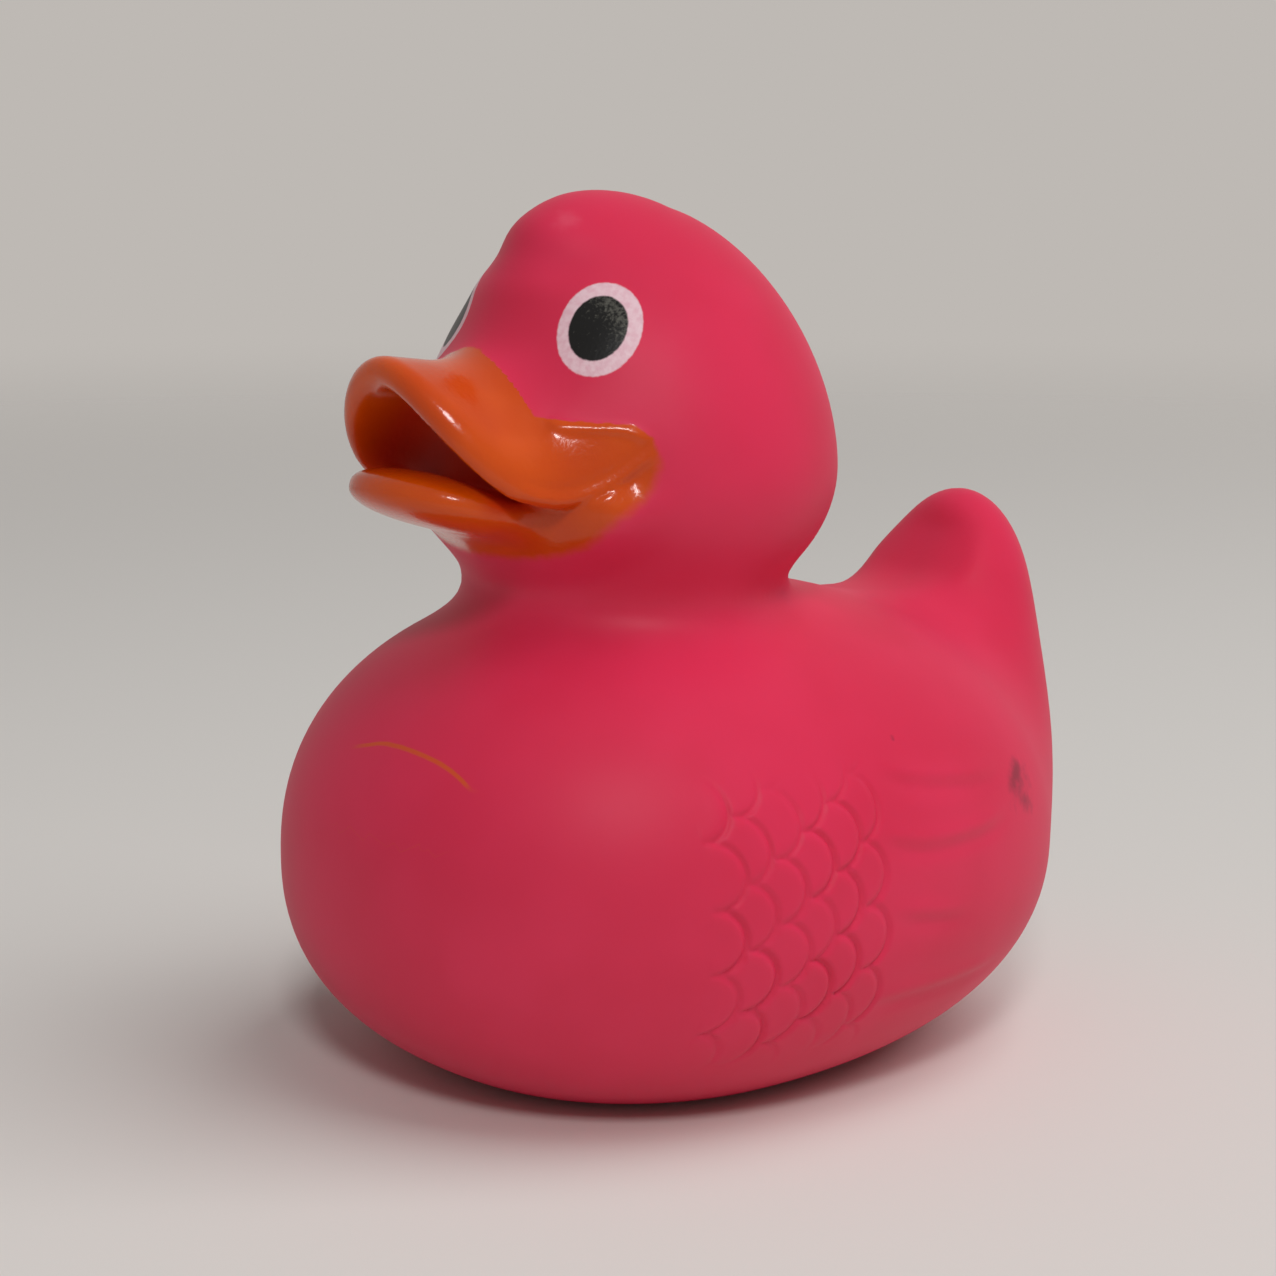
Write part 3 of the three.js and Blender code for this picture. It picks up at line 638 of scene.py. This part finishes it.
    # Pad-printing ink: a thin white film that lets some pink through, with a grainy black pupil over it
    ragged = node(MATH, grain["print edge"], 0.16, -0.08, operation="MULTIPLY_ADD")
    near = node(MATH, on["eye_white_distance"], ragged, operation="ADD")
    printed = node(SMOOTH, near, 0.1, -0.1, **soft)
    near = node(MATH, on["pupil_distance"], ragged, operation="ADD")
    pupil = node(SMOOTH, near, 0.1, -0.1, **soft)
    thin = node(SMOOTH, grain["thin white"], 0.3, 0.7, **soft)
    white = node(MIX, into={0: thin, 6: colour("#F0CDD6"), 7: colour("#E8BAC6")}, **rgb).outputs[2]
    # Painted sheen: the grainy black is made paler towards the pupil's upper rear side, over the ink's own grain
    sheen_share = node(MATH, on["pupil_painted_sheen"], 0.3, -0.12, operation="MULTIPLY_ADD")
    bare = node(SMOOTH, node(MATH, grain["grainy black"], sheen_share, operation="ADD"), 0.5, 0.85, **soft)
    black = node(MIX, into={0: bare, 6: colour("#070708"), 7: colour("#55544E")}, **rgb).outputs[2]
    inked = node(MIX, into={0: pupil, 6: white, 7: black}, **rgb).outputs[2]
    rough = node("ShaderNodeBump", into={"Height": grain["grainy black"], "Strength": 0.14, "Distance": BUMP_REACH})
    ink = node("ShaderNodeBsdfPrincipled", into={
        "Base Color": inked, "Roughness": 0.4, "IOR": 1.5, "Specular IOR Level": 0.3, "Normal": rough,
    })

    body = node("ShaderNodeMixShader", paint, vinyl, sprayed)
    node("ShaderNodeOutputMaterial", node("ShaderNodeMixShader", printed, body, ink))
    return material


def build_duck():
    """The finished duck: smooth skin, relief, maps, finish and feathers, as one piece in place of the solid"""
    mesh, p, outside = smooth_skin()
    normals = slope_of(duck, p)
    normals /= np.maximum(np.linalg.norm(normals, axis=1, keepdims=True), 1e-9)
    maps = skin_maps(p)
    relief = wing_offset(p) + tuft_offset(p) + tail_offset(p) + bead_offset(p) + eye_offset(p)
    p = p + (relief * outside)[:, None] * normals
    mesh.vertices.foreach_set("co", ((p + SHIFT) * MM).astype(np.float32).ravel())
    for name, far in SKIN_MAPS.items():
        attribute = mesh.attributes.new(name, "FLOAT", "POINT")
        attribute.data.foreach_set("value", np.where(outside, maps[name], far).astype(np.float32))
    mesh.polygons.foreach_set("use_smooth", [True] * len(mesh.polygons))
    mesh.set_sharp_from_angle(angle=math.radians(60))
    material = duck_finish()
    mesh.materials.append(material)
    draft = bpy.data.objects.new("duck_draft", mesh)
    scene.collection.objects.link(draft)
    modifier = draft.modifiers.new("feathers", "NODES")
    modifier.node_group = feather_relief(material)
    for socket in modifier.node_group.interface.items_tree:
        if socket.in_out == "INPUT" and socket.name in FEATHERS:
            modifier[socket.identifier] = FEATHERS[socket.name]
    bpy.context.view_layer.update()
    evaluated = draft.evaluated_get(bpy.context.evaluated_depsgraph_get())
    finished = bpy.data.meshes.new_from_object(evaluated)
    bpy.data.objects.remove(draft)
    duck_piece = bpy.data.objects.new("duck", finished)
    scene.collection.objects.link(duck_piece)
    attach(duck_piece, "root")
    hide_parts("duck_shell")


# Soft lamps: which way they stand from the duck, how far off and how wide in metres, and their watts
LAMP_AIM = (0.0, 0.0, 0.04)
CEILING = dict(direction=(0.49, 0.38, 1.0), distance=1.1, size=1.0, power=7.8)
WINDOW = dict(direction=(0.6, -0.46, 0.63), distance=0.9, size=0.15, power=2.2)
FLOOR_HALF = 4
FLOOR_FADE = (0.2, 0.9)
ROOM_LIGHT = 0.27


def lamp(name, direction, distance, size, power, aim):
    """A square soft lamp that shines on aim"""
    light = bpy.data.lights.new(name, "AREA")
    light.size, light.energy = size, power
    holder = bpy.data.objects.new(name, light)
    holder.location = Vector(aim) + Vector(direction).normalized() * distance
    holder.rotation_euler = (Vector(aim) - holder.location).to_track_quat("-Z", "Y").to_euler()
    scene.collection.objects.link(holder)
    return holder


def studio():
    """Pale floor, soft light from above on the tail's side and one small window of light over the camera"""
    floor_mesh = bpy.data.meshes.new("floor")
    corners = [(x * FLOOR_HALF, y * FLOOR_HALF, 0) for x, y in ((-1, -1), (1, -1), (1, 1), (-1, 1))]
    floor_mesh.from_pydata(corners, [], [(0, 1, 2, 3)])
    floor = bpy.data.objects.new("floor", floor_mesh)
    scene.collection.objects.link(floor)
    # Matt white card that runs out softly into the pale room
    card = bpy.data.materials.new("matt_white_card")
    card.use_nodes = True
    card.node_tree.nodes.clear()
    node = partial(add, card.node_tree)
    here = node("ShaderNodeTexCoord").outputs["Object"]
    away = node("ShaderNodeVectorMath", here, operation="LENGTH").outputs["Value"]
    gone = node(SMOOTH, away, *FLOOR_FADE, interpolation_type="SMOOTHSTEP")
    matt = node("ShaderNodeBsdfPrincipled", into={"Base Color": colour("#E6E3DF"), "Roughness": 0.85})
    faded = node("ShaderNodeMixShader", gone, matt, node("ShaderNodeBsdfTransparent"))
    node("ShaderNodeOutputMaterial", faded)
    floor_mesh.materials.append(card)
    world = bpy.data.worlds.new("soft_room")
    world.use_nodes = True
    world.node_tree.nodes.clear()
    node = partial(add, world.node_tree)
    ray = node("ShaderNodeLightPath").outputs
    seen = node(MATH, ray["Is Camera Ray"], ray["Is Glossy Ray"], operation="MAXIMUM")
    seen = node(MATH, seen, ray["Is Transmission Ray"], operation="MAXIMUM")
    room = node("ShaderNodeBackground", colour("#D2CECB"), ROOM_LIGHT)
    wall = node("ShaderNodeBackground", colour("#BEB9B4"), 1.0)
    node("ShaderNodeOutputWorld", node("ShaderNodeMixShader", seen, room, wall))
    scene.world = world
    lamp("ceiling", **CEILING, aim=LAMP_AIM).visible_glossy = False
    lamp("window", **WINDOW, aim=LAMP_AIM)


# The camera's turn and tilt in degrees, and in millimetres its distance and where it aims, aside and up
CAMERA_TURN, CAMERA_TILT = 52.04, 10.25
CAMERA_DISTANCE, AIM_ASIDE, AIM_HEIGHT = 270.0, -0.25, 39.36
SENSOR, LENS = 36.0, 81.9


def photo_camera():
    """Looks at the duck from its left front, a little above"""
    turn, tilt = math.radians(CAMERA_TURN), math.radians(CAMERA_TILT)
    back = np.array([math.sin(turn) * math.cos(tilt), -math.cos(turn) * math.cos(tilt), math.sin(tilt)])
    target = np.array([math.cos(turn), math.sin(turn), 0.0]) * AIM_ASIDE + [0, 0, AIM_HEIGHT] + SHIFT
    data = bpy.data.cameras.new("camera")
    data.sensor_width, data.lens, data.clip_start = SENSOR, LENS, 0.01
    camera = bpy.data.objects.new("camera", data)
    camera.location = Vector((target + back * CAMERA_DISTANCE) * MM)
    camera.rotation_euler = Vector(-back).to_track_quat("-Z", "Y").to_euler()
    scene.collection.objects.link(camera)
    scene.camera = camera


build_duck()
studio()
photo_camera()
bpy.context.view_layer.update()
